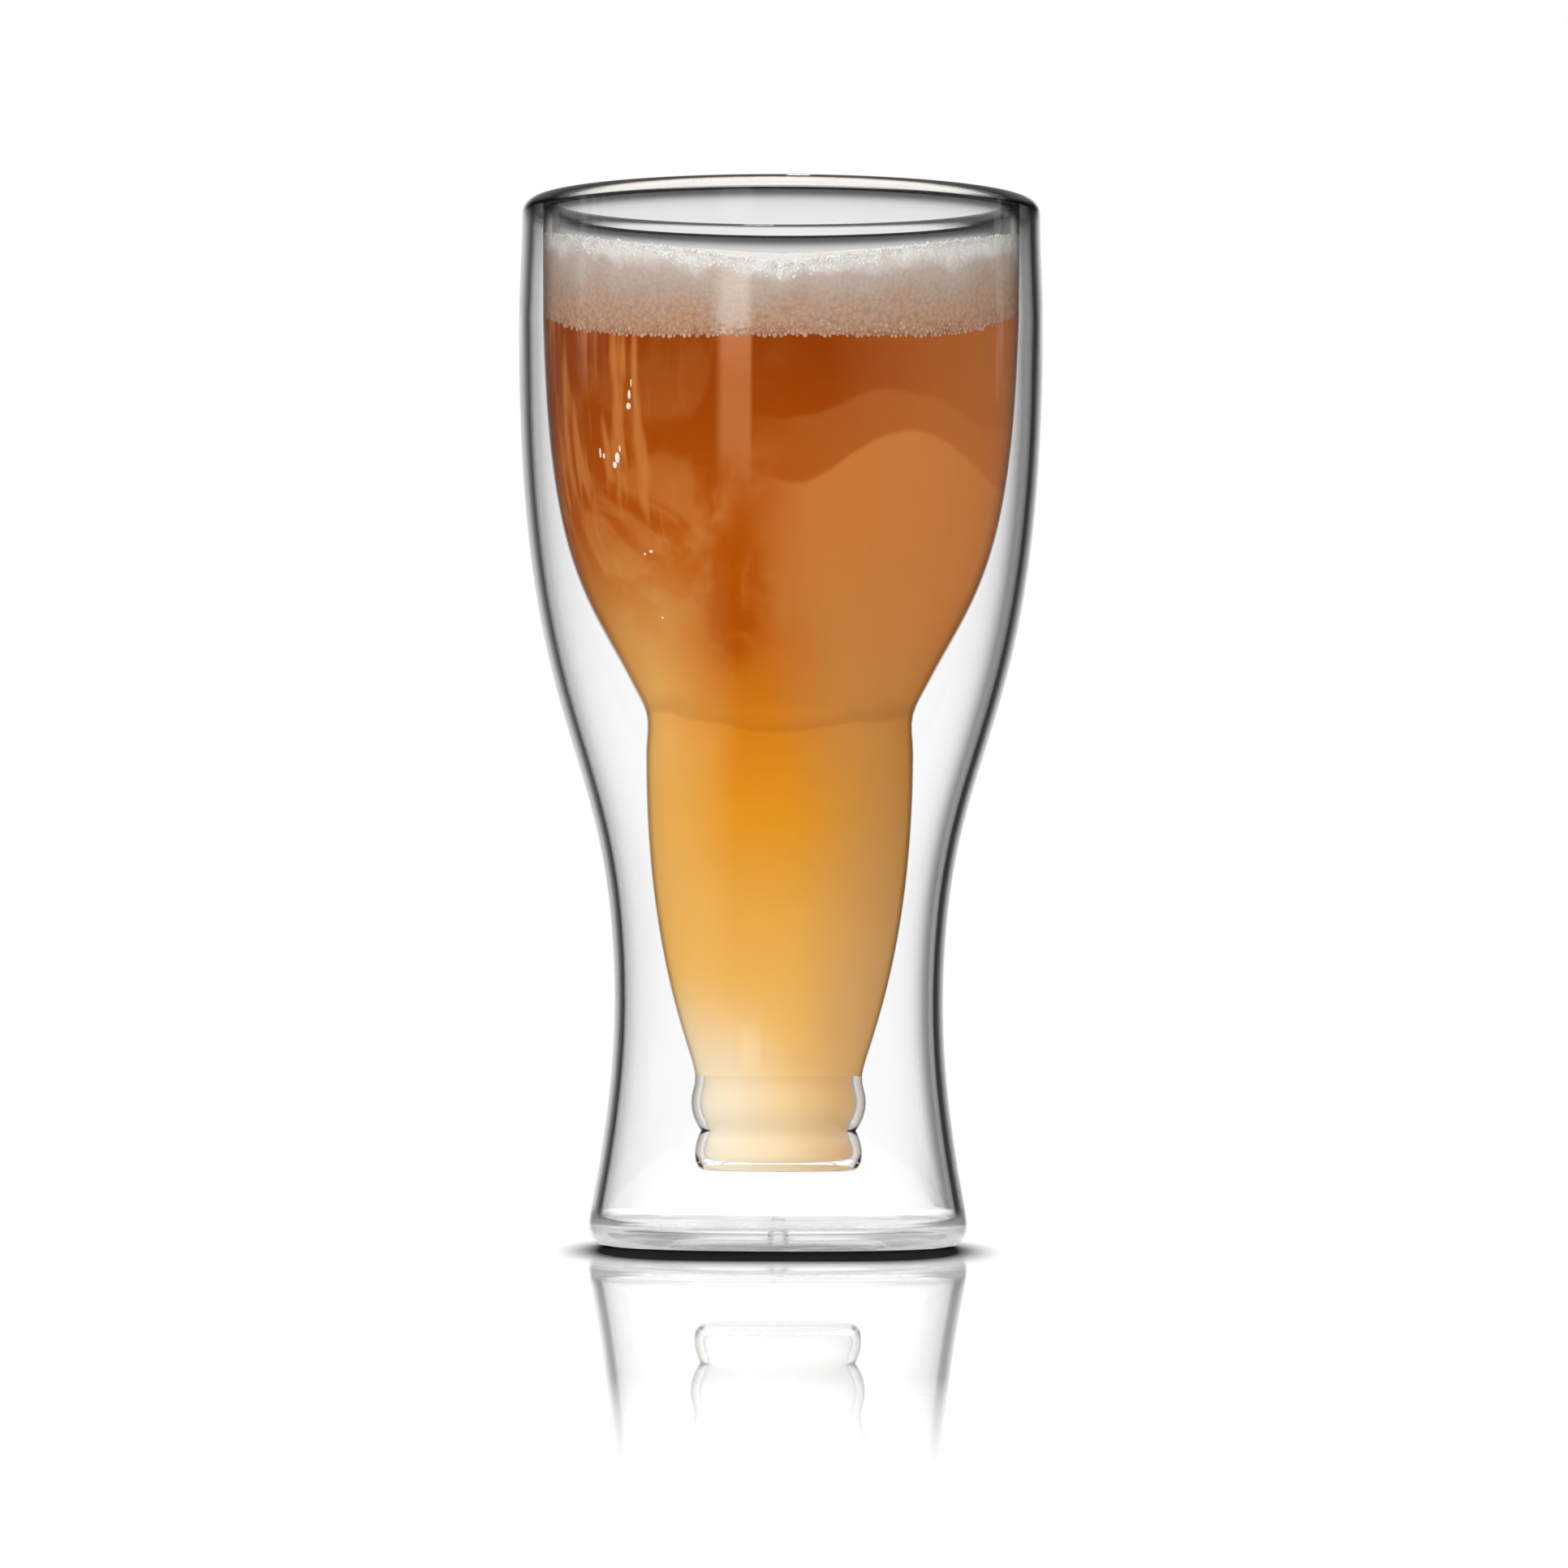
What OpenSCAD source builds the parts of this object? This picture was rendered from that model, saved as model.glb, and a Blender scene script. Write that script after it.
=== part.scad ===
// Double-walled beer glass: a blown outer wall with a waist, and a vessel shaped like an upturned
// bottle hanging inside it. The two walls meet in a fused bead at the rim, and the air between them is
// shut in by a glass pip in the base. The glass is filled with beer under a head of foam.
// Millimetres, +Z up, origin at the middle of the surface that the glass stands on.

/* [Outer wall] */
// Radius of the foot, just above its rounded heel
foot_radius = 31.9; // [29:0.1:38]
// Reach of the rounded heel across the underside of the base
heel_reach = 5; // [2:0.1:6]
// Height of the heel's curve above the inside floor
heel_rise = 2; // [1.2:0.1:4]
// Radius of the waist
waist_radius = 27.9; // [25:0.1:31]
// Height of the waist above the table
waist_height = 40.5; // [34:0.5:50]
// How far the waist's curve reaches down towards the foot
foot_pull = 14.4; // [8:0.2:22]
// How far the waist's curve reaches up towards the belly
waist_pull = 48; // [34:1:60]
// Radius of the belly, the widest place of the glass
belly_radius = 44.6; // [40:0.1:50]
// Height from the waist up to the belly
belly_rise = 116.5; // [100:0.5:130]
// How far the belly's curve reaches down towards the waist
belly_pull = 75; // [55:1:85]
// Radius of the outer wall at its lip, under the rim bead
lip_radius = 44.1; // [40:0.1:48]
// Height from the belly up to the lip
lip_rise = 18.7; // [12:0.1:30]
// Thickness of the outer wall
outer_wall = 1.55; // [1.2:0.05:2.4]

/* [Base] */
// Thickness of the base
base_thick = 3.5; // [2.6:0.1:5]
// Reach of the rounded corner between the inside floor and the wall
floor_corner = 3; // [1:0.1:6]
// Radius of the shallow recess under the base
recess_radius = 20; // [14:0.5:23]
// Depth of the recess
recess_depth = 1.2; // [0.9:0.1:1.8]
// Width of the slope at the edge of the recess
recess_slope = 4; // [1:0.1:7]

/* [Vent seal] */
// Radius of the vent hole in the middle of the base
vent_radius = 1.2; // [0.8:0.1:3]
// How far the pip's button overlaps the base around the vent hole
button_overlap = 0.9; // [0.6:0.1:3]
// Air between the pip's button and the table
button_lift = 0.5; // [0.3:0.1:0.6]
// Height of the pip's round tail above the inside floor
tail_height = 0.6; // [0.4:0.1:3]

/* [Rim bead] */
// Height of the fused bead above the two lips
bead_height = 2.3; // [1.4:0.1:3.5]

/* [Inner vessel] */
// Thickness of the vessel's wall
inner_wall = 1.5; // [1:0.1:2]
// Width of the air gap where the two walls come closest, between the belly and the lip
mouth_gap = 1.9; // [1:0.05:3]
// Height of the air gap between the inside floor and the vessel's tip
floor_gap = 9.3; // [4:0.1:14]
// Thickness of the glass at the bottom of the tip
tip_floor = 1.2; // [1:0.1:3]
// Radius of the tip, which is shaped like a bottle's lip
tip_radius = 14.2; // [11:0.1:17]
// Reach of the rounded corner at the bottom of the tip
tip_corner = 2; // [1:0.1:4]
// Height of the tip's widest place above the inside of its bottom
tip_rise = 1.6; // [0.4:0.1:2.4]
// Depth of the groove above the tip
groove_depth = 1; // [0.4:0.1:2]
// Height from the tip's widest place up to the groove
groove_rise = 4; // [3:0.1:6]
// How far the ring above the groove stands proud of the tip
ring_proud = 0.65; // [0:0.05:1.5]
// Height from the groove up to the ring's widest place
ring_rise = 4.8; // [3.5:0.1:7]
// How far the throat is set in from the ring
throat_depth = 0.65; // [0.2:0.05:1.5]
// Height from the ring up to the throat
throat_rise = 4.4; // [3:0.1:7]
// Radius of the neck
neck_radius = 22.75; // [19:0.05:24]
// Height from the throat up to the neck
neck_rise = 55.2; // [44:0.1:62]
// How far the throat's curve reaches up towards the neck
throat_pull = 3.5; // [1:0.1:8]
// How far the neck's curve reaches down towards the throat
neck_pull = 36; // [20:1:44]
// Length of the straight collar at the top of the neck
collar_length = 6.5; // [2:0.1:12]
// Angle that the shoulder turns outwards by where it leaves the collar
shoulder_angle = 24; // [15:1:35]
// How far the shoulder's curve reaches up from the collar
shoulder_pull = 20; // [10:1:28]
// How far the mouth's curve reaches down towards the shoulder
mouth_pull = 57.5; // [40:0.5:65]
// Length of the straight part of the mouth under the rim
mouth_length = 7.7; // [3:0.1:14]

/* [Drink] */
// Depth of the beer's surface below the top of the rim
beer_drop = 24; // [18:0.5:60]
// Height of the head of foam on the beer
foam_height = 14; // [6:0.5:14.5]

/* [Hidden] */
$fn = 96;

// Flat pieces of each curve, from short corners to the long sweeps of the walls
corner_steps = 4;
sweep_steps = 12;

clear_glass = [0.86, 0.92, 0.93, 0.35];
amber = [0.85, 0.48, 0.10];
cream = [0.87, 0.77, 0.68];

// Heights of the outer wall's stations
heel_height = base_thick + heel_rise;
belly_height = waist_height + belly_rise;
lip_height = belly_height + lip_rise;
glass_height = lip_height + bead_height;

// Heights of the vessel's stations, from its tip up
tip_bottom = base_thick + floor_gap;
tip_inside = tip_bottom + tip_floor;
tip_height = tip_inside + tip_rise;
groove_height = tip_height + groove_rise;
ring_height = groove_height + ring_rise;
throat_height = ring_height + throat_rise;
neck_height = throat_height + neck_rise;
shoulder_height = neck_height + collar_length;
mouth_height = lip_height - mouth_length;

// Radii that follow from their neighbours
groove_radius = tip_radius - groove_depth;
ring_radius = tip_radius + ring_proud;
throat_radius = ring_radius - throat_depth;
mouth_radius = min(lip_radius, belly_radius) - outer_wall - mouth_gap;
bore_radius = mouth_radius - inner_wall;

// Levels of the drink
beer_height = glass_height - beer_drop;
foam_top = beer_height + foam_height;

// A point on the curve that a list of control points pulls, at the share t of its way
function bezier(p, t) =
    len(p) == 1 ? p[0] : bezier([for (i = [0 : len(p) - 2]) p[i] * (1 - t) + p[i + 1] * t], t);

// The direction of that curve, and the unit vector square to it that points to the glass's axis
function direction(p, t) = bezier([for (i = [0 : len(p) - 2]) p[i + 1] - p[i]], t);
function inward(p, t) = let (d = direction(p, t)) [-d[1], d[0]] / norm(d);

// Points along one curve, set in by the thickness of the wall
function curve(p, steps, inset = 0) =
    [for (i = [0 : steps]) bezier(p, i / steps) + inset * inward(p, i / steps)];

// Points along a chain of [control points, steps], and the same points from the far end
function chain(curves, inset = 0) = [for (c = curves) each curve(c[0], c[1], inset)];
function backwards(points) = [for (i = [len(points) - 1 : -1 : 0]) points[i]];

// Control points of a rise from a to b that leaves and arrives straight up
function upright(a, b, pull_a, pull_b) = [a, a + [0, pull_a], b - [0, pull_b], b];

// Control points of a rounded corner: flat at the given height, then turning up into point q along
// direction d
function rounded_corner(height, reach, q, d) =
    let (edge = q[0] - (q[1] - height) * d[0] / d[1])
        [[edge - reach, height], [edge, height], q];

// Outer wall: the foot narrows to the waist, sweeps out to the belly and closes a little at the lip
foot_curve = [
    [foot_radius, heel_height],
    [waist_radius, waist_height - foot_pull],
    [waist_radius, waist_height],
];
belly_curve = upright([waist_radius, waist_height], [belly_radius, belly_height], waist_pull, belly_pull);
lip_curve = upright([belly_radius, belly_height], [lip_radius, lip_height], lip_rise / 3, lip_rise / 3);
wall_curves = [[foot_curve, corner_steps], [belly_curve, sweep_steps], [lip_curve, corner_steps]];

foot_direction = direction(foot_curve, 0);
foot_inside = foot_curve[0] + outer_wall * inward(foot_curve, 0);
heel_curve = rounded_corner(0, heel_reach, foot_curve[0], foot_direction);
floor_curve = rounded_corner(base_thick, floor_corner, foot_inside, foot_direction);
recess_curve = [
    [recess_radius - recess_slope, recess_depth],
    [recess_radius - recess_slope / 2, recess_depth],
    [recess_radius - recess_slope / 2, 0],
    [recess_radius, 0],
];

// Inner vessel: an upturned bottle, from the lip at its tip up to the wide mouth
tip_curve = rounded_corner(tip_bottom, tip_corner, [tip_radius, tip_height], [0, 1]);
tip_inside_curve = rounded_corner(tip_inside, tip_corner, [tip_radius - inner_wall, tip_height], [0, 1]);
groove_curve = [
    [tip_radius, tip_height],
    [tip_radius, tip_height + groove_rise / 2],
    [groove_radius, groove_height],
];
ring_curve = [
    [groove_radius, groove_height],
    [ring_radius, groove_height + ring_rise / 2],
    [ring_radius, ring_height],
];
throat_curve =
    upright([ring_radius, ring_height], [throat_radius, throat_height], throat_rise / 2, throat_rise / 2);
neck_curve =
    upright([throat_radius, throat_height], [neck_radius, neck_height], throat_pull, neck_pull);
collar_line = [[neck_radius, neck_height], [neck_radius, shoulder_height]];
shoulder_curve = [
    [neck_radius, shoulder_height],
    [neck_radius + shoulder_pull * tan(shoulder_angle), shoulder_height + shoulder_pull],
    [mouth_radius, mouth_height - mouth_pull],
    [mouth_radius, mouth_height],
];
mouth_line = [[mouth_radius, mouth_height], [mouth_radius, lip_height]];
vessel_curves = [
    [groove_curve, corner_steps],
    [ring_curve, corner_steps],
    [throat_curve, corner_steps],
    [neck_curve, sweep_steps],
    [collar_line, 1],
    [shoulder_curve, sweep_steps],
    [mouth_line, 1],
];

// The hollow of the vessel, from the middle of its floor up to the mouth
hollow_points = concat(
    [[0, tip_inside]],
    curve(tip_inside_curve, corner_steps),
    chain(vessel_curves, inner_wall)
);

// Outer blown wall with its base, standing ring and vent hole
module outer_wall() {
    color(clear_glass) rotate_extrude() polygon(concat(
        [[vent_radius, base_thick], [vent_radius, recess_depth]],
        curve(recess_curve, corner_steps),
        curve(heel_curve, corner_steps),
        chain(wall_curves),
        backwards(chain(wall_curves, outer_wall)),
        backwards(curve(floor_curve, corner_steps))
    ));
}

// Vessel that holds the drink
module inner_vessel() {
    color(clear_glass) rotate_extrude() polygon(concat(
        [[0, tip_bottom]],
        curve(tip_curve, corner_steps),
        chain(vessel_curves),
        backwards(hollow_points)
    ));
}

// Fused bead that joins the two lips and closes the air gap
module rim_bead() {
    middle = (lip_radius + bore_radius) / 2;
    half_width = (lip_radius - bore_radius) / 2;
    round_steps = 2 * sweep_steps;
    color(clear_glass) rotate_extrude() polygon([
        for (i = [0 : round_steps])
            [middle + half_width * cos(180 * i / round_steps),
             lip_height + bead_height * sin(180 * i / round_steps)]
    ]);
}

// Glass pip that plugs the vent hole: a button under the base, a stem and a round tail inside
module vent_seal() {
    color(clear_glass) rotate_extrude() polygon(concat(
        [[0, button_lift], [vent_radius + button_overlap / 2, button_lift],
         [vent_radius + button_overlap, recess_depth], [vent_radius, recess_depth]],
        [for (i = [0 : corner_steps])
            [vent_radius * cos(90 * i / corner_steps), base_thick + tail_height * sin(90 * i / corner_steps)]]
    ));
}

// The part of the vessel's hollow between two levels
module hollow_between(low, high) {
    rotate_extrude() intersection() {
        polygon(concat(hollow_points, [[0, lip_height]]));
        translate([0, low]) square([belly_radius, high - low]);
    }
}

// Beer up to its level
module beer() {
    color(amber) hollow_between(tip_inside, beer_height);
}

// Head of foam on the beer
module foam_head() {
    color(cream) hollow_between(beer_height, foam_top);
}

outer_wall();
inner_vessel();
rim_bead();
vent_seal();
beer();
foam_head();
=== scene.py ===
import math

import bmesh
import bpy
from mathutils import Matrix, Vector, noise


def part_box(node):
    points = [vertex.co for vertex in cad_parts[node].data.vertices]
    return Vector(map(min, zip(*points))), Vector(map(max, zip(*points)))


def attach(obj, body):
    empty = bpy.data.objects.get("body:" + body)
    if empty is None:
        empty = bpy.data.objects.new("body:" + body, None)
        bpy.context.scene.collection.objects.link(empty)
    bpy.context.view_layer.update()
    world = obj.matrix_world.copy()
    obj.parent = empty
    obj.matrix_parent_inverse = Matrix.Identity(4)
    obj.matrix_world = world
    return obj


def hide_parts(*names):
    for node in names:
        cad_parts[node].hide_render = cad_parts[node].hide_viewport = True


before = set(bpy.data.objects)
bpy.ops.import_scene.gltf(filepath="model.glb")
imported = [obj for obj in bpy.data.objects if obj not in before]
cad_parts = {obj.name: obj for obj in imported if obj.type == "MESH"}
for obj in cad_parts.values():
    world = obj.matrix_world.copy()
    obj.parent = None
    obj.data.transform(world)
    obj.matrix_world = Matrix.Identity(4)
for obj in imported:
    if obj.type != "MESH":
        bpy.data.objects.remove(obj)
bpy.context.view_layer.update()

mm = 0.001
scene = bpy.context.scene
scene.view_settings.view_transform = "Standard"
print("frame: nodes", sorted(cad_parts))


# Camera at the photograph's viewing angle: just over the table, looking slightly up
cameraSetup = {
    "distance": 1319 * mm,  # from the axis of the glass
    "height": 38.7 * mm,    # over the table
    "sideStep": 0.76 * mm,  # the glass stands a little left of the middle
    "tiltUp": 1.73,         # degrees
    "roll": 0.18,           # degrees, the glass leans to the right by this much
    "lens": 178.2,
    "sensor": 36,
}


def makeCamera():
    camera = bpy.data.objects.new("camera", bpy.data.cameras.new("camera"))
    scene.collection.objects.link(camera)
    camera.data.lens = cameraSetup["lens"]
    camera.data.sensor_width = cameraSetup["sensor"]
    place = Matrix.Translation((cameraSetup["sideStep"], -cameraSetup["distance"], cameraSetup["height"]))
    tilt = Matrix.Rotation(math.radians(90 + cameraSetup["tiltUp"]), 4, "X")
    camera.matrix_world = place @ tilt @ Matrix.Rotation(math.radians(cameraSetup["roll"]), 4, "Z")
    scene.camera = camera


makeCamera()
print("camera: placed")


# Small helpers for node trees
def addNode(tree, kind, inputs=None, **settings):
    node = tree.nodes.new(kind)
    for name, value in settings.items():
        setattr(node, name, value)
    for socket, value in (inputs or {}).items():
        if isinstance(value, bpy.types.NodeSocket):
            tree.links.new(value, node.inputs[socket])
        else:
            node.inputs[socket].default_value = value
    return node


def addMath(tree, operation, *values):
    return addNode(tree, "ShaderNodeMath", dict(enumerate(values)), operation=operation).outputs[0]


def multiply(tree, product, *others):
    for other in others:
        product = addMath(tree, "MULTIPLY", product, other)
    return product


def addInteger(tree, operation, *values):
    return addNode(tree, "FunctionNodeIntegerMath", dict(enumerate(values)), operation=operation).outputs[0]


def addVector(tree, operation, *values, **named):
    inputs = {**dict(enumerate(values)), **named}
    result = addNode(tree, "ShaderNodeVectorMath", inputs, operation=operation).outputs
    return result["Value" if operation == "LENGTH" else "Vector"]


def mapRange(tree, value, fromLow, fromHigh, toLow=0.0, toHigh=1.0, soft=False):
    kind = "SMOOTHSTEP" if soft else "LINEAR"
    inputs = {0: value, 1: fromLow, 2: fromHigh, 3: toLow, 4: toHigh}
    return addNode(tree, "ShaderNodeMapRange", inputs, interpolation_type=kind).outputs[0]


def pick(tree, share, first, second):  # first where share is 0, second where it is 1
    return addNode(tree, "ShaderNodeMix", {0: share, 2: first, 3: second}).outputs[0]


def mixColour(tree, share, first, second, blend="MIX"):
    inputs = {0: share, 6: first, 7: second}
    return addNode(tree, "ShaderNodeMix", inputs, data_type="RGBA", blend_type=blend).outputs[2]


def addRamp(tree, value, stops):  # a stop's colour is a grey level or linear red, green and blue
    ramp = addNode(tree, "ShaderNodeValToRGB", {0: value})
    elements = ramp.color_ramp.elements
    elements.remove(elements[-1])
    for i, (place, colour) in enumerate(stops):
        element = elements.new(place) if i else elements[0]
        element.position = place
        element.color = (*colour[:3], 1) if isinstance(colour, tuple) else (colour, colour, colour, 1)
    return ramp.outputs[0]


def heightRamp(tree, height, stops):  # the stops are heights in millimetres
    low, high = stops[0][0], stops[-1][0]
    shares = [((z - low) / (high - low), colour) for z, colour in stops]
    return addRamp(tree, mapRange(tree, height, low * mm, high * mm), shares)


def addNoise(tree, place, settings):
    return addNode(tree, "ShaderNodeTexNoise", {"Vector": place, **settings}).outputs


def objectPlace(tree):
    return tree.nodes.new("ShaderNodeTexCoord").outputs["Object"]


def split(tree, place):
    return addNode(tree, "ShaderNodeSeparateXYZ", {0: place}).outputs


def lightPath(tree):
    return tree.nodes.new("ShaderNodeLightPath").outputs


def addShader(tree, kind, inputs=None):
    return addNode(tree, "ShaderNode" + kind, inputs).outputs[0]


def mixShader(tree, share, first, second):
    return addShader(tree, "MixShader", {0: share, 1: first, 2: second})


def newMaterial(name):
    material = bpy.data.materials.new(name)
    material.use_nodes = True
    material.node_tree.nodes.clear()
    return material, material.node_tree


def showSurface(tree, shader):
    addNode(tree, "ShaderNodeOutputMaterial", {"Surface": shader})


def newGroup(name, kind, inputs, outputs):
    tree = bpy.data.node_groups.new(name, kind)
    for direction, sockets in {"INPUT": inputs, "OUTPUT": outputs}.items():
        for socket, form in sockets.items():
            tree.interface.new_socket(socket, in_out=direction, socket_type="NodeSocket" + form)
    return tree, tree.nodes.new("NodeGroupInput").outputs


def paint(red, green, blue):  # screen colour 0 to 255, as linear light with alpha
    def linear(level):
        share = level / 255
        return share / 12.92 if share <= 0.04045 else ((share + 0.055) / 1.055) ** 2.4
    return (linear(red), linear(green), linear(blue), 1)


def paintStops(stops):
    return [(place, paint(*colour)) for place, colour in stops]


def endGeometry(tree, geometry, finish):
    real = addNode(tree, "GeometryNodeRealizeInstances", {"Geometry": geometry}).outputs[0]
    dressed = addNode(tree, "GeometryNodeSetMaterial", {"Geometry": real, "Material": finish}).outputs[0]
    addNode(tree, "NodeGroupOutput", {0: dressed})


# Small helpers for meshes
def setModifier(piece, tree, values):
    modifier = piece.modifiers.new(tree.name, "NODES")
    modifier.node_group = tree
    for name, value in values.items():
        modifier[tree.interface.items_tree[name].identifier] = value


def makePlain(piece):  # turns the modifier's result into the piece's own mesh
    evaluated = piece.evaluated_get(bpy.context.evaluated_depsgraph_get())
    mesh = bpy.data.meshes.new_from_object(evaluated)
    drawn = piece.data
    piece.modifiers.clear()
    piece.data = mesh
    bpy.data.meshes.remove(drawn)


def newPiece(name, points, edges=(), faces=()):
    mesh = bpy.data.meshes.new(name)
    mesh.from_pydata(points, edges, faces)
    piece = bpy.data.objects.new(name, mesh)
    scene.collection.objects.link(piece)
    return piece


# Half sections of the turned pieces, read from the frame
outlineSetup = {
    "sameRing": 0.01 * mm,   # rings closer than this are one
    "sameRun": 0.001 * mm,   # a run that a point makes longer by less than this goes through it
    "cornerTurn": 38,        # degrees, a sharper turn stays a corner
    "straightTurn": 0.3,     # degrees, a smaller turn is none
    "longNeighbour": 3,      # a run this many times longer keeps its own direction
    "ringStep": 1.5 * mm,    # distance between the rings of a glass piece
}
nearly = outlineSetup["sameRing"]


def halfSection(place):  # radius and height of a point
    return Vector((math.hypot(place.x, place.y), place.z))


def readOutline(nodeName):
    # The rings of a turned node as points (radius, height), in order, and whether they close on themselves
    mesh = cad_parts[nodeName].data
    rings, ringOfVertex, neighbours = [], [], []
    for vertex in mesh.vertices:
        spot = halfSection(vertex.co)
        found = next((i for i, ring in enumerate(rings) if (ring - spot).length < nearly), None)
        if found is None:
            found = len(rings)
            rings.append(spot)
            neighbours.append(set())
        ringOfVertex.append(found)
    for edge in mesh.edges:
        first, second = (ringOfVertex[v] for v in edge.vertices)
        if first != second:
            neighbours[first].add(second)
            neighbours[second].add(first)
    ends = [i for i, near in enumerate(neighbours) if len(near) == 1]
    closed = not ends
    here = min(ends or range(len(rings)), key=lambda i: (rings[i].y, rings[i].x))
    order = [here]
    while True:
        ahead = [i for i in neighbours[here] if i not in order]
        if not ahead:
            break
        here = ahead[0]
        order.append(here)
    line = [rings[i] for i in order]
    if not closed:  # a flat end has no ring in its middle
        line = [Vector((0, line[0].y))] + line + [Vector((0, line[-1].y))]
        line = [p for i, p in enumerate(line) if i == 0 or (p - line[i - 1]).length > nearly]
    return dropStraight(line, closed), closed


def dropStraight(line, closed):
    # Leaves out the points that only divide a straight stretch
    kept = []
    for i, point in enumerate(line):
        atEnd = not closed and i in (0, len(line) - 1)
        before, after = point - line[i - 1], line[(i + 1) % len(line)] - point
        if atEnd or math.degrees(before.angle(after)) > outlineSetup["straightTurn"]:
            kept.append(point)
    return kept


def offRun(point, start, end):  # how much longer the way from start to end gets through the point
    return (point - start).length + (end - point).length - (end - start).length


def splice(line, closed, extras):
    # Puts each extra point into the stretch of the line that it lies on
    for extra in extras:
        count = len(line) if closed else len(line) - 1
        for i in range(count):
            start, end = line[i], line[(i + 1) % len(line)]
            if abs(offRun(extra, start, end)) < outlineSetup["sameRun"]:
                if min((extra - start).length, (end - extra).length) > nearly:
                    line.insert(i + 1, extra)
                break
    return line


def soften(line, closed, step):
    # A smooth curve through the points, with real corners kept
    count = len(line)
    widest = max(p.x for p in line) - nearly
    runs = [line[(i + 1) % count] - line[i] for i in range(count if closed else count - 1)]
    into, out = [], []
    for i in range(count):
        before = runs[i - 1] if closed or i > 0 else runs[0]
        after = runs[i] if i < len(runs) else runs[-1]
        if math.degrees(before.angle(after)) > outlineSetup["cornerTurn"]:
            into.append(before.normalized())
            out.append(after.normalized())
            continue
        if line[i].x > widest:
            way = Vector((0, math.copysign(1, before.y + after.y)))
        elif before.length > outlineSetup["longNeighbour"] * after.length:
            way = before.normalized()
        elif after.length > outlineSetup["longNeighbour"] * before.length:
            way = after.normalized()
        else:
            way = (before.normalized() * after.length + after.normalized() * before.length).normalized()
        into.append(way)
        out.append(way)
    smooth = []
    for i, run in enumerate(runs):
        start, end = line[i], line[(i + 1) % count]
        pieces = max(1, round(run.length / step))
        for k in range(pieces):
            t = k / pieces
            smooth.append(
                start * (2 * t**3 - 3 * t**2 + 1)
                + out[i] * run.length * (t**3 - 2 * t**2 + t)
                + end * (3 * t**2 - 2 * t**3)
                + into[(i + 1) % count] * run.length * (t**3 - t**2)
            )
    if not closed:
        smooth.append(line[-1])
    return smooth


# Geometry Nodes lathe: turns an outline drawn as points (radius, 0, height) about the axis
def makeLatheTree():
    tree, given = newGroup(
        "turnedGlass", "GeometryNodeTree",
        {"Outline": "Geometry", "Rings": "Int", "Sides": "Int", "Finish": "Material"}, {"Piece": "Geometry"},
    )
    across = addInteger(tree, "ADD", given["Sides"], 1)
    grid = addNode(tree, "GeometryNodeMeshGrid", {"Vertices X": given["Rings"], "Vertices Y": across})
    index = tree.nodes.new("GeometryNodeInputIndex").outputs[0]
    ring = addInteger(tree, "DIVIDE_FLOOR", index, across)
    side = addInteger(tree, "MODULO", index, across)
    angle = addMath(tree, "DIVIDE", multiply(tree, side, 2 * math.pi), given["Sides"])
    position = tree.nodes.new("GeometryNodeInputPosition").outputs[0]
    outline = {"Geometry": given["Outline"], "Value": position, "Index": ring}
    sample = addNode(tree, "GeometryNodeSampleIndex", outline, data_type="FLOAT_VECTOR", domain="POINT")
    spot = split(tree, sample.outputs[0])
    place = addNode(tree, "ShaderNodeCombineXYZ", {
        0: multiply(tree, spot[0], addMath(tree, "COSINE", angle)),
        1: multiply(tree, spot[0], addMath(tree, "SINE", angle)),
        2: spot[2],
    }).outputs[0]
    turned = addNode(tree, "GeometryNodeSetPosition", {"Geometry": grid.outputs[0], "Position": place}).outputs[0]
    merged = addNode(tree, "GeometryNodeMergeByDistance", {"Geometry": turned, "Distance": nearly / 10}).outputs[0]
    smooth = addNode(tree, "GeometryNodeSetShadeSmooth", {"Geometry": merged}).outputs[0]
    bend = tree.nodes.new("GeometryNodeInputMeshEdgeAngle").outputs[0]
    cornered = addMath(tree, "GREATER_THAN", bend, math.radians(outlineSetup["cornerTurn"]))
    corners = {"Geometry": smooth, "Selection": cornered, "Shade Smooth": False}
    crisp = addNode(tree, "GeometryNodeSetShadeSmooth", corners, domain="EDGE").outputs[0]
    endGeometry(tree, crisp, given["Finish"])
    return tree


latheTree = makeLatheTree()


def turnPiece(name, line, closed, sides, finish):
    ringLine = line + line[:1] if closed else line
    edges = [(i, i + 1) for i in range(len(ringLine) - 1)]
    piece = newPiece(name, [(p.x, 0, p.y) for p in ringLine], edges)
    setModifier(piece, latheTree, {"Rings": len(ringLine), "Sides": sides, "Finish": finish})
    makePlain(piece)
    shell = bmesh.new()
    shell.from_mesh(piece.data)
    bmesh.ops.recalc_face_normals(shell, faces=shell.faces)
    shell.to_mesh(piece.data)
    shell.free()
    return piece


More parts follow.
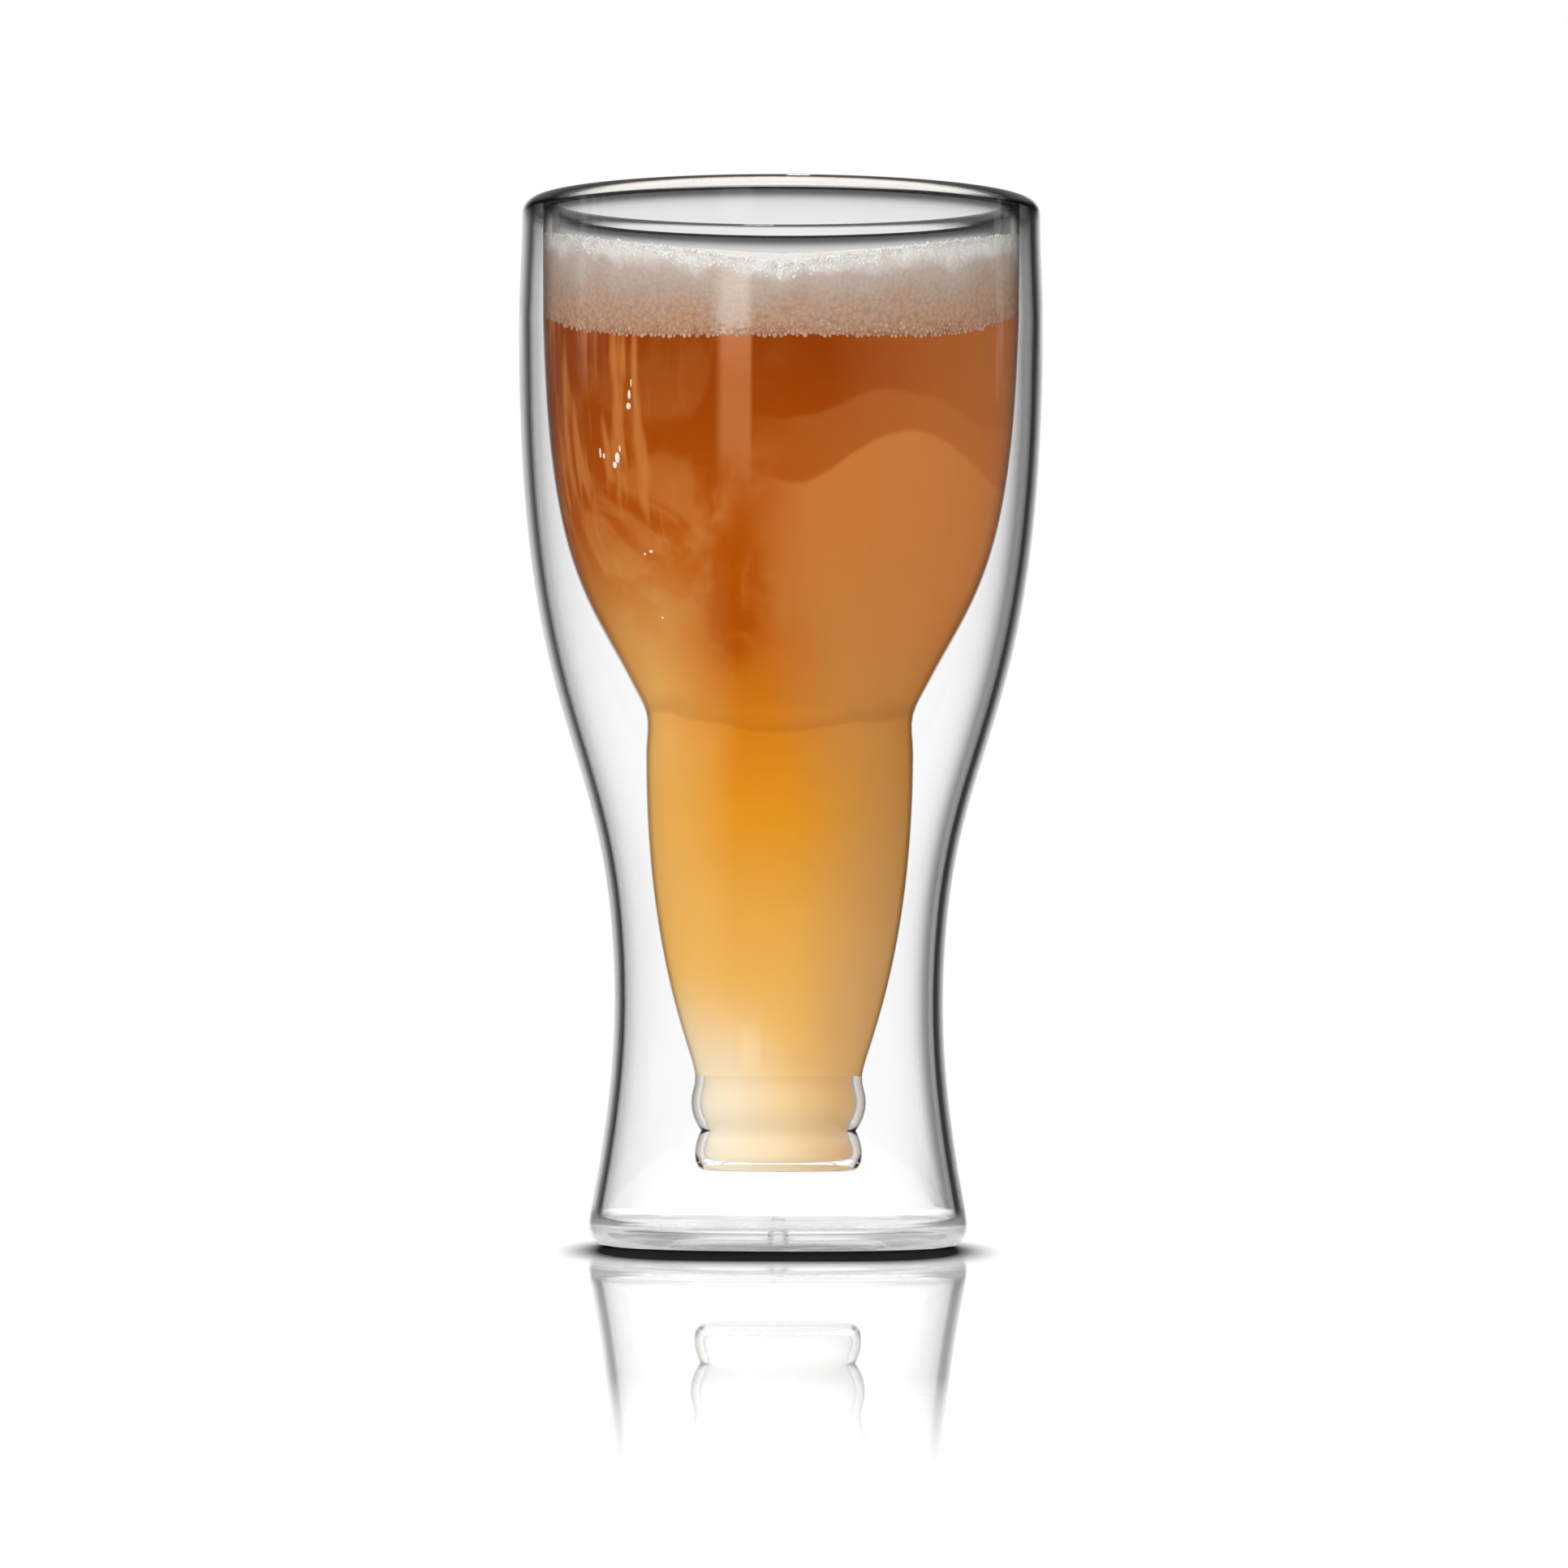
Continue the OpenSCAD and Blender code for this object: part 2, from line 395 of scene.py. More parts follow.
# Clear blown glass
glassSetup = {
    "index": 1.47,            # borosilicate glass
    "gloss": (0.2, 0.2, 0.2, 1),
    "ripples": 45,            # ripples to the metre
    "rippleStretch": 0.35,    # below 1 draws them out up the wall
    "rippleDepth": 0.03 * mm,
    "rippleTone": (0.99, 1),  # share of the light that passes
    "sides": 240,
    "jointGlowFrom": 0.6,          # slant at which the rim starts to show a painted glow for the light from the walls
    "jointGlowTo": 0.35,
    "jointGlowShare": 0.85,
    "jointGlowColour": (0.62, 0.65, 0.65, 1),
    # Painted edge shade: share of the light that a wall seen edge on lets through, by the cosine at which light
    # leaves its far side
    "edgeShade": [(0, 0), (0.07, 0.02), (0.12, 0.2), (0.18, 0.55), (0.25, 0.78), (0.32, 0.92), (0.42, 1)],
    # Painted shade the same way, by the cosine on the near side: the rim's crest is a dark line, the tip's edge lets
    # some of the beer's colour through, and the vessel's edge over it is a brownish grey
    "rimCrestShade": [(0, 0), (0.46, 0.002), (0.54, 0.04), (0.62, 0.4), (0.7, 1)],
    "tipCrestShade": [(0, 0.01), (0.08, 0.06), (0.16, (0.55, 0.44, 0.34)), (0.34, (0.65, 0.52, 0.4)), (0.4, 1)],
    "vesselCrestShade": [(0, 0.02), (0.08, 0.1), (0.17, (0.45, 0.38, 0.32)), (0.3, 1)],
    "plain": [(0, 1), (1, 1)],
    "tipTop": 28.8 * mm,
    "vesselFrom": 29.8 * mm,
    # The thick foot is drawn less strongly than the walls
    "footFrom": 3 * mm,
    "footTo": 6.5 * mm,
    "footClear": 0.25,
    "footTone": (0.97, 0.97, 0.97, 1),
    "lampShare": (0.3, 1, 0.96, 0.55),  # light of the lamps that passes, by slant
    # Painted shade by height in millimetres, where the two walls run together under the rim
    "lipShade": [(166, 1), (169, 0.93), (172.5, 0.9), (173.5, 0.846), (173.8, 0.8), (174.1, 0.705),
                 (174.4, 0.605), (174.7, 0.44), (175, 0.356), (175.7, 0.305)],
}


def makeWaverGroup():
    # Faint waver of blown glass: long soft ripples that run mostly up the wall
    tree, given = newGroup(
        "blownWaver", "ShaderNodeTree",
        {"Ripples": "Float", "Stretch": "Float"}, {"Height": "Float", "Tone": "Float"},
    )
    squeeze = addNode(tree, "ShaderNodeCombineXYZ", {0: 1.0, 1: 1.0, 2: given["Stretch"]}).outputs[0]
    drawn = addVector(tree, "MULTIPLY", objectPlace(tree), squeeze)
    ripple = addNoise(tree, drawn, {"Scale": given["Ripples"], "Detail": 1.0})[0]
    tone = mapRange(tree, ripple, 0, 1, *glassSetup["rippleTone"])
    addNode(tree, "NodeGroupOutput", {"Height": ripple, "Tone": tone})
    return tree


waverGroup = makeWaverGroup()


def slantOf(tree):  # 0 seen straight on, 1 seen edge on
    return addNode(tree, "ShaderNodeLayerWeight", {"Blend": 0.5}).outputs["Facing"]


def makeClearGlass(name, lowCrestShade, highCrestShade, lipShadeStops):
    material, tree = newMaterial(name)
    ripples = {"Ripples": glassSetup["ripples"], "Stretch": glassSetup["rippleStretch"]}
    wave = addNode(tree, "ShaderNodeGroup", ripples, node_tree=waverGroup).outputs
    bump = addNode(tree, "ShaderNodeBump", {"Distance": glassSetup["rippleDepth"], "Height": wave["Height"]})
    height = split(tree, objectPlace(tree))[2]
    facing = slantOf(tree)
    inside = tree.nodes.new("ShaderNodeNewGeometry").outputs["Backfacing"]
    # Cosines on the near side and where the light leaves
    straight = addMath(tree, "SUBTRACT", 1.0, facing)
    slant = addMath(tree, "SUBTRACT", 1.0, multiply(tree, straight, straight))
    passing = addMath(tree, "SUBTRACT", 1.0, multiply(tree, slant, glassSetup["index"] ** 2))
    leaving = addMath(tree, "SQRT", addMath(tree, "MAXIMUM", passing, 0.0))
    # Painted shade: the glass darkens at its edges, along its crest and under the rim
    edge = addRamp(tree, leaving, glassSetup["edgeShade"])
    upper = mapRange(tree, height, glassSetup["tipTop"], glassSetup["vesselFrom"])
    crest = mixColour(tree, upper, addRamp(tree, straight, lowCrestShade), addRamp(tree, straight, highCrestShade))
    lip = heightRamp(tree, height, lipShadeStops)
    shade = mixColour(tree, 1.0, mixColour(tree, inside, crest, edge), lip, "MULTIPLY")
    glass = addShader(tree, "BsdfPrincipled", {
        "Base Color": addVector(tree, "SCALE", shade, Scale=wave["Tone"]),
        "Roughness": 0.0,
        "IOR": glassSetup["index"],
        "Specular Tint": glassSetup["gloss"],
        "Transmission Weight": 1.0,
        "Normal": bump.outputs[0],
    })
    thick = mapRange(tree, height, glassSetup["footFrom"], glassSetup["footTo"], glassSetup["footClear"], 0.0)
    foot = addShader(tree, "BsdfTransparent", {"Color": glassSetup["footTone"]})
    seen = mixShader(tree, thick, glass, foot)
    # Light of the lamps and of the room goes straight through
    through = addShader(tree, "BsdfTransparent", {"Color": mapRange(tree, facing, *glassSetup["lampShare"])})
    rays = lightPath(tree)
    lampRay = addMath(tree, "MAXIMUM", rays["Is Shadow Ray"], rays["Is Diffuse Ray"])
    showSurface(tree, mixShader(tree, lampRay, seen, through))
    return material


def makeFusedJoint():
    # Where two pieces of glass are melted together there is no surface to see
    material, tree = newMaterial("fusedJoint")
    clear = addShader(tree, "BsdfTransparent")
    # Looking down into the rim, a painted glow stands for the light that the walls pipe up to it
    steep = mapRange(tree, slantOf(tree), glassSetup["jointGlowFrom"], glassSetup["jointGlowTo"], 0, glassSetup["jointGlowShare"])
    jointGlow = addShader(tree, "Emission", {"Color": glassSetup["jointGlowColour"]})
    showSurface(tree, mixShader(tree, steep, clear, jointGlow))
    return material


plain, rimCrestShade, lipShade = glassSetup["plain"], glassSetup["rimCrestShade"], glassSetup["lipShade"]
wallGlass = makeClearGlass("wallGlass", plain, plain, lipShade)
vesselGlass = makeClearGlass("vesselGlass", glassSetup["tipCrestShade"], glassSetup["vesselCrestShade"], lipShade)
rimGlass = makeClearGlass("rimGlass", rimCrestShade, rimCrestShade, plain)
fusedJoint = makeFusedJoint()

glassPieces = [  # piece, the node that it replaces, and its finish
    ("blown_outer_wall", "outer_wall", wallGlass),
    ("blown_inner_vessel", "inner_vessel", vesselGlass),
    ("fused_rim_bead", "rim_bead", rimGlass),
    ("base_vent_seal", "vent_seal", wallGlass),
]
outlines = {node: readOutline(node) for _, node, _ in glassPieces}
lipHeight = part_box("rim_bead")[0].z
stemRadius = min(p.x for p in outlines["outer_wall"][0])


def lipOf(node):
    return tuple(p for p in outlines[node][0] if abs(p.y - lipHeight) < nearly)


def sealContacts():  # the seat of the seal's button, and its stem
    line = outlines["vent_seal"][0]
    buttonRadius = max(p.x for p in line)
    stem = [p for p in line if abs(p.x - stemRadius) < nearly]
    seat = [p for p in line if abs(p.x - buttonRadius) < nearly]
    top = max(seat, key=lambda p: p.y)
    return [(Vector((stemRadius, top.y)), top), (min(stem, key=lambda p: p.y), max(stem, key=lambda p: p.y))]


contacts = [lipOf("outer_wall"), lipOf("inner_vessel")] + sealContacts()
contactEnds = [end for pair in contacts for end in pair]


def fuseContacts(piece):
    # Faces that lie on another piece of glass get the finish of a melted joint
    piece.data.materials.append(fusedJoint)
    for face in piece.data.polygons:
        spot = halfSection(face.center)
        if any(offRun(spot, start, end) < nearly for start, end in contacts):
            face.material_index = 1


def makeGlassPiece(name, node, finish):
    line, closed = outlines[node]
    smooth = soften(splice(line, closed, contactEnds), closed, outlineSetup["ringStep"])
    piece = turnPiece(name, smooth, closed, glassSetup["sides"], finish)
    fuseContacts(piece)
    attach(piece, "root")
    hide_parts(node)
    print("glass:", name, len(smooth), "rings", len(piece.data.polygons), "faces")


for glassPiece in glassPieces:
    makeGlassPiece(*glassPiece)


# Beer and foam: where the drink meets the glass, by angle from the front
drinkSetup = {
    "gap": 0.1 * mm,            # between the beer and the glass of the tip
    "wet": 0.45 * mm,           # how far the drink sinks into the glass above the tip, so that no air shows
    "sink": 0.3 * mm,           # the same at the bottom of the tip
    "dryBelow": 28.2 * mm,
    "wetAbove": 32.4 * mm,
    "beerFront": 151.7 * mm,    # top of the beer at the front
    "beerLeft": 158.2 * mm,     # and at the sides
    "beerRight": 159.4 * mm,
    "beerClimb": 3,             # a high power keeps the front level
    "foamFront": 163.2 * mm,    # top of the foam at the front
    "foamSide": 171.6 * mm,     # and at the sides
    "foamBack": 166.5 * mm,     # and at the back
    "foamClimb": 0.85,
}


def sideShare(angle):  # 0 at the front and the back, 1 at the sides, and level there
    share = min(abs(angle), math.pi - abs(angle)) / (math.pi / 2)
    return share + (math.sin(share * math.pi / 2) - share) * share**2


def beerTop(angle):  # angle from the front, in radians, positive to the right
    low, side = drinkSetup["beerFront"], drinkSetup["beerRight" if angle > 0 else "beerLeft"]
    return low + (side - low) * sideShare(angle) ** drinkSetup["beerClimb"]


def foamTop(angle):
    low = drinkSetup["foamFront" if abs(angle) < math.pi / 2 else "foamBack"]
    return low + (drinkSetup["foamSide"] - low) * sideShare(angle) ** drinkSetup["foamClimb"]


def drinkGap(height):  # below 0 where the drink sinks into the glass
    share = (height - drinkSetup["dryBelow"]) / (drinkSetup["wetAbove"] - drinkSetup["dryBelow"])
    return drinkSetup["gap"] - (drinkSetup["gap"] + drinkSetup["wet"]) * min(1, max(0, share))


beerLine, _ = readOutline("beer")
foamLine, _ = readOutline("foam_head")
beerCadTop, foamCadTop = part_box("beer")[1].z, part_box("foam_head")[1].z
boreLine = sorted(beerLine[1:-1] + foamLine[2:-1], key=lambda p: p.y)


def boreRadius(height):  # inside radius of the vessel
    for low, high in zip(boreLine, boreLine[1:]):
        if low.y <= height <= high.y and high.y > low.y:
            return low.x + (high.x - low.x) * (height - low.y) / (high.y - low.y)
    return boreLine[-1].x if height > boreLine[-1].y else boreLine[0].x


def frontAngle(point):  # 0 at the front, positive to the right
    return math.atan2(point.x, -point.y)


beerSetup = {
    "sides": 160,
    "ringStep": 2 * mm,
    "settleFrom": 135 * mm,     # over this height the rings follow the slanting top
    "inset": 0.3 * mm,          # room for the bubbles along the top
    "insetOver": 3 * mm,
    # Colour by height in millimetres, from the clear tip to the deep layer under the foam
    "tones": [(14, (250, 224, 180)), (36, (243, 190, 102)), (72, (231, 153, 34)), (102, (200, 103, 16)),
              (125, (176, 80, 8)), (150, (147, 62, 6))],
    "hazeTones": [(30, (212, 166, 112)), (80, (206, 146, 76)), (120, (205, 126, 60))],
    # Slow currents that bend the colours, and how far they push them
    "drift": {"Scale": 55.0, "Detail": 3.0, "Roughness": 0.5},
    "push": 6 * mm,
    # Layers of the drink, as two waves under the foam: where the wave is lowest, half its length, its middle, its
    # swing and its share
    "waves": [(1.1 * mm, 17.5 * mm, 140.8 * mm, 2.8 * mm, 0.3), (1.1 * mm, 19.5 * mm, 132.2 * mm, 5.2 * mm, 0.7)],
    "waveEdge": (-0.5 * mm, 0.7 * mm),
    # Haze on the right under the layers: how far it reaches over to the left by height, its edge and its thickness
    "hazeLean": (75 * mm, 112 * mm, 0, 10 * mm),
    "hazeEdge": (0, 19 * mm),
    "hazeThick": (60 * mm, 110 * mm, 0.85, 0.95),
    # Textures: height against width, below 1 draws them out upwards, and the noise
    "textures": {
        "wisp": (1, {"Scale": 48.0, "Detail": 4.0, "Distortion": 1.4}),
        "streak": (0.1, {"Scale": 330.0, "Detail": 2.0}),
        "sinking": (0.55, {"Scale": 150.0, "Detail": 3.0, "Distortion": 0.8}),
    },
    "still": ("streak",),       # textures that the currents leave alone
    # Ovals: place of the middle to the right, half width, height of the middle and half height
    "ovals": {
        "plume": (-7.5 * mm, 7.5 * mm, 109 * mm, 14 * mm),
        "collar": (0, 23 * mm, 93.5 * mm, 6.3 * mm),
    },
    # Washes of colour, in this order. A wash is as strong as all its fades multiplied, and a fade says what it reads,
    # where it starts and ends, the shares there if they aren't 0 and 1, and whether it is soft
    "washes": [
        # Wisps in the upper left, and beside them fine pale streaks, painted highlights
        ("haze", [("wisp", 0.47, 0.62), ("across", 6 * mm, -10 * mm, 0, 0.6), ("height", 92 * mm, 112 * mm),
                  ("height", 142 * mm, 122 * mm, 0.3, 1)]),
        ("haze", [("streak", 0.5, 0.68, 0, 0.75), ("across", -13 * mm, -23 * mm), ("height", 106 * mm, 122 * mm)]),
        # A darker plume that sinks towards the neck
        ((180, 80, 2), [("sinking", 0.38, 0.56, 0.25, 0.85), ("plume", 1.1, 0.5)]),
        # Pale stripe, a painted highlight where the front softbox lights it
        ((205, 126, 68), [("stillAcross", -11 * mm, -9 * mm), ("stillAcross", -4.4 * mm, -5.2 * mm),
                          ("height", 122 * mm, 138 * mm, 0, 0.65), ("stillAlong", 0, -10 * mm, 0, 1, False)]),
        # Painted glow in the neck on the left, and a paler right side of the bowl
        ((255, 206, 122), [("across", -7 * mm, -21 * mm, 0, 0.65, False), ("height", 124 * mm, 86 * mm)]),
        ((220, 138, 76), [("across", 8 * mm, 34 * mm, 0, 0.5, False), ("height", 86 * mm, 100 * mm)]),
        # Painted light that gathers in the tip on the left, and painted shade on the right
        ((255, 246, 222), [("across", 5 * mm, -15 * mm, 0, 0.85), ("height", 48 * mm, 24 * mm)]),
        ((216, 166, 106), [("across", 0, 14 * mm, 0, 0.6, False), ("height", 60 * mm, 36 * mm)]),
        # Dark arc where the neck opens, painted shade
        ((120, 40, 0), [("collar", 0.5, 0.95), ("collar", 1.05, 0.97), ("height", 94 * mm, 91 * mm, 0, 0.16)]),
    ],
    "mirrorPale": 0.85,         # how pale the beer is in mirror images
    "tipLight": (62 * mm, 26 * mm),  # heights between which the tip's painted glow comes up
    "tipStrength": 0.1,
}


def ovalDistance(tree, across, height, oval):  # 1 on the oval's outline
    middle, halfWidth, middleHeight, halfHeight = oval
    flat = addMath(tree, "DIVIDE", addMath(tree, "SUBTRACT", across, middle), halfWidth)
    rise = addMath(tree, "DIVIDE", addMath(tree, "SUBTRACT", height, middleHeight), halfHeight)
    return addMath(tree, "SQRT", addMath(tree, "ADD", multiply(tree, flat, flat), multiply(tree, rise, rise)))


def underWave(tree, across, height, wave):  # the wave's share under it, 0 over it
    lowest, half, middle, swing, share = wave
    turn = addMath(tree, "COSINE", multiply(tree, addMath(tree, "SUBTRACT", across, lowest), math.pi / half))
    level = addMath(tree, "SUBTRACT", middle, multiply(tree, turn, swing))
    depth = addMath(tree, "SUBTRACT", level, height)
    return mapRange(tree, depth, *beerSetup["waveEdge"], 0, share, soft=True)


def addFade(tree, value, start, end, least=0.0, most=1.0, soft=True):
    return mapRange(tree, value, start, end, least, most, soft)


def makeHazyBeer():
    material, tree = newMaterial("hazyBeer")
    where = objectPlace(tree)
    drift = addVector(tree, "SUBTRACT", addNoise(tree, where, beerSetup["drift"])["Color"], (0.5, 0.5, 0.5))
    swirled = addVector(tree, "ADD", where, addVector(tree, "SCALE", drift, Scale=beerSetup["push"]))
    across, _, height = split(tree, swirled)
    stillAcross, stillAlong, _ = split(tree, where)
    readings = {"across": across, "height": height, "stillAcross": stillAcross, "stillAlong": stillAlong}
    for name, (squeeze, settings) in beerSetup["textures"].items():
        drawn = addVector(tree, "MULTIPLY", where if name in beerSetup["still"] else swirled, (1, 1, squeeze))
        readings[name] = addNoise(tree, drawn, settings)[0]
    for name, oval in beerSetup["ovals"].items():
        readings[name] = ovalDistance(tree, across, height, oval)
    # Haze on the right, under the two layers
    haze = heightRamp(tree, height, paintStops(beerSetup["hazeTones"]))
    layers = addMath(tree, "ADD", *(underWave(tree, stillAcross, height, wave) for wave in beerSetup["waves"]))
    lean = addMath(tree, "ADD", across, mapRange(tree, height, *beerSetup["hazeLean"]))
    right = mapRange(tree, lean, *beerSetup["hazeEdge"], soft=True)
    hazy = multiply(tree, right, layers, mapRange(tree, height, *beerSetup["hazeThick"]))
    colour = mixColour(tree, hazy, heightRamp(tree, height, paintStops(beerSetup["tones"])), haze)
    for wash, fades in beerSetup["washes"]:
        share = multiply(tree, *(addFade(tree, readings[name], *fade) for name, *fade in fades))
        colour = mixColour(tree, share, colour, haze if wash == "haze" else paint(*wash))
    mirrored = addMath(tree, "MINIMUM", lightPath(tree)["Glossy Depth"], beerSetup["mirrorPale"])
    colour = mixColour(tree, mirrored, colour, (1, 1, 1, 1))
    showSurface(tree, addShader(tree, "BsdfPrincipled", {
        "Base Color": colour,
        # Painted glow in the tip, from its own colour
        "Emission Color": mixColour(tree, mapRange(tree, height, *beerSetup["tipLight"]), (0, 0, 0, 1), colour),
        "Emission Strength": beerSetup["tipStrength"],
        "Roughness": 0.5,
        "IOR": 1.34,
        "Specular IOR Level": 0.0,
        "Subsurface Weight": 0.15,
        "Subsurface Scale": 2 * mm,
        "Subsurface Radius": (1.0, 0.6, 0.3),
    }))
    return material


def makeBeer():
    line = soften(beerLine, False, beerSetup["ringStep"])
    bottom, wet, settleFrom = line[0].y, drinkSetup["wet"], beerSetup["settleFrom"]
    line = [Vector((p.x - drinkGap(p.y) if p.x > 0 else 0, p.y)) for p in line]
    for point in line:
        if point.y < bottom + drinkSetup["gap"]:
            point.y = bottom - drinkSetup["sink"]
    piece = turnPiece("hazy_beer", line, False, beerSetup["sides"], makeHazyBeer())
    for vertex in piece.data.vertices:
        share = (vertex.co.z - settleFrom) / (beerCadTop - settleFrom)
        if share > 0:
            bore = boreRadius(vertex.co.z)
            reach = min(1, math.hypot(vertex.co.x, vertex.co.y) / bore)
            level = beerCadTop + (beerTop(frontAngle(vertex.co)) - beerCadTop) * reach**2
            raised = vertex.co.z + (level - beerCadTop) * share
            inset = beerSetup["inset"] * max(0, 1 - (level - raised) / beerSetup["insetOver"]) * reach**8
            grow = (boreRadius(raised) + wet - inset) / (bore + wet)
            vertex.co = Vector((vertex.co.x * grow, vertex.co.y * grow, raised))
    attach(piece, "root")
    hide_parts("beer")
    print("beer:", len(piece.data.polygons), "faces")


makeBeer()

foamSetup = {
    "sides": 640,
    "ringStep": 0.4 * mm,
    "discStep": 1.8 * mm,
    "bubbleSize": 1.2 * mm,     # of the bubbles that swell the foam's skin
    "bubbleDepth": 0.2 * mm,
    "inset": 0.4 * mm,          # room for the bubbles along the top and the bottom
    "insetOver": 2.5 * mm,
    # Colour by share of the foam's height
    "crown": [(0, (196, 148, 112)), (0.25, (192, 156, 130)), (0.5, (190, 164, 146)), (0.72, (200, 182, 170)),
              (0.85, (230, 221, 214)), (1, (252, 249, 246))],
    "cells": {"Scale": 1200.0},
    "cellDepth": 0.2 * mm,
    "patches": {"Scale": 160.0, "Detail": 3.0},
    "patchShift": (0.3, 0.7, -0.1, 0.1),  # how far the patches shift the colours up or down
    # Gaps between the small bubbles, by distance in a cell, and how strong they are by height
    "gaps": (150, 104, 72),
    "gapEdge": (0.35, 0.85),
    "gapShare": (0.0, 0.6, 0.6, 0.12),
    # Colours of the level top, and where it starts behind the glass
    "top": (222, 217, 211),
    "topGaps": (182, 160, 142),
    "topGapEdge": (0.3, 0.8),
    "topGapShare": (0.35, 0.65, 0.2, 0.75),
    "topFrom": 1 * mm,
    "topFull": 3 * mm,
    # Pale stripe, a painted highlight where the front softbox lights it: its left and right edges, and its front
    "stripe": (238, 222, 208),
    "stripeLeft": (-12 * mm, -8.5 * mm),
    "stripeRight": (-4 * mm, -6 * mm),
    "stripeFront": (0, -10 * mm, 0, 0.38),
}


def makeFoamFinish():
    material, tree = newMaterial("creamFoam")
    where = objectPlace(tree)
    cell = addNode(tree, "ShaderNodeTexVoronoi", {"Vector": where, **foamSetup["cells"]}, feature="F1")
    cell = cell.outputs["Distance"]
    patches = addNoise(tree, where, foamSetup["patches"])[0]
    # The side of the foam
    level = addNode(tree, "ShaderNodeAttribute", attribute_name="froth").outputs["Fac"]
    shifted = addMath(tree, "ADD", level, mapRange(tree, patches, *foamSetup["patchShift"]))
    side = addRamp(tree, shifted, paintStops(foamSetup["crown"]))
    gap = multiply(tree, mapRange(tree, cell, *foamSetup["gapEdge"]), mapRange(tree, level, *foamSetup["gapShare"]))
    side = mixColour(tree, gap, side, paint(*foamSetup["gaps"]))
    # Painted highlight where the front softbox lights the foam
    across, along, _ = split(tree, where)
    edges = [mapRange(tree, across, *foamSetup[edge], soft=True) for edge in ("stripeLeft", "stripeRight")]
    lit = multiply(tree, *edges, mapRange(tree, along, *foamSetup["stripeFront"]))
    side = mixColour(tree, lit, side, paint(*foamSetup["stripe"]))
    # Its top
    shares = mapRange(tree, patches, *foamSetup["topGapShare"])
    topGap = multiply(tree, mapRange(tree, cell, *foamSetup["topGapEdge"]), shares)
    top = mixColour(tree, topGap, paint(*foamSetup["top"]), paint(*foamSetup["topGaps"]))
    reach = addVector(tree, "LENGTH", addVector(tree, "MULTIPLY", where, (1, 1, 0)))
    bore = boreRadius(foamCadTop)
    onTop = mapRange(tree, reach, bore - foamSetup["topFrom"], bore - foamSetup["topFull"])
    bump = addNode(tree, "ShaderNodeBump", {"Distance": foamSetup["cellDepth"], "Height": cell}, invert=True)
    showSurface(tree, addShader(tree, "BsdfPrincipled", {
        "Base Color": mixColour(tree, onTop, side, top),
        "Roughness": 0.35,
        "Subsurface Weight": 0.15,
        "Subsurface Scale": 1.0 * mm,
        "Normal": bump.outputs[0],
    }))
    return material


def bubbleSwell(point):  # 1 on the crown of a bubble, 0 in the gap between two
    distances, _ = noise.voronoi(point / foamSetup["bubbleSize"])
    return max(0, 1 - distances[0] ** 2)


def makeFoam():
    radius = boreRadius(foamCadTop)
    height = foamCadTop - beerCadTop
    discSteps = round(radius / foamSetup["discStep"])
    sideSteps = round(height / foamSetup["ringStep"])
    line = [Vector((radius * i / discSteps, beerCadTop)) for i in range(discSteps)]
    line += [Vector((radius, beerCadTop + height * i / sideSteps)) for i in range(sideSteps)]
    line += [Vector((radius * (1 - i / discSteps), foamCadTop)) for i in range(discSteps + 1)]
    piece = turnPiece("foam_head_skin", line, False, foamSetup["sides"], makeFoamFinish())
    froth = piece.data.attributes.new("froth", "FLOAT", "POINT")  # 0 at the foot of the foam, 1 at its top
    for vertex in piece.data.vertices:
        reach = math.hypot(vertex.co.x, vertex.co.y) / radius
        share = (vertex.co.z - beerCadTop) / height
        froth.data[vertex.index].value = share
        angle = frontAngle(vertex.co)
        low = beerCadTop + (beerTop(angle) - beerCadTop) * reach**2
        high = foamCadTop + (foamTop(angle) - foamCadTop) * reach**2
        raised = low + (high - low) * share
        dent = foamSetup["bubbleDepth"] * (1 - bubbleSwell(vertex.co))
        edge = max(0, 1 - min(raised - low, high - raised) / foamSetup["insetOver"])
        out = (boreRadius(raised) + drinkSetup["wet"] - (dent + foamSetup["inset"] * edge) * reach) / radius
        if foamCadTop - vertex.co.z < nearly:  # the level top is dented downwards
            raised -= 2 * dent
        vertex.co = Vector((vertex.co.x * out, vertex.co.y * out, raised))
    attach(piece, "root")
    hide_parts("foam_head")
    print("foam:", len(piece.data.polygons), "faces")


makeFoam()


# Geometry Nodes bubbles: small balls strewn over a guide ribbon
bubbleSetup = {
    "steps": 180,     # of the ribbon, around the glass
    "segments": 7,    # of a ball
    "rings": 5,
    "density": 2e7,   # balls to the square metre, before those too close together are left out
    # Ribbon from and to, above the line that it follows; depth of its middle behind the glass; sizes and spacing
    "top": {"from": -2.6 * mm, "to": 0.1 * mm, "depth": 0.35 * mm,
            "sizes": {"Smallest": 0.16 * mm, "Largest": 0.4 * mm, "Apart": 0.46 * mm, "Seed": 4}},
    "edge": {"from": -0.2 * mm, "to": 2.4 * mm, "depth": 0.45 * mm,
             "sizes": {"Smallest": 0.26 * mm, "Largest": 0.52 * mm, "Apart": 0.66 * mm, "Seed": 9}},
    # Colours of the crowns and of the gaps, and the noise that mixes them
    "topColours": ((255, 254, 252), (232, 224, 217)),
    "edgeColours": ((206, 170, 145), (180, 126, 92)),
    "mottle": {"Scale": 700.0, "Detail": 2.0},
    "mottleEdge": (0.35, 0.65),
}


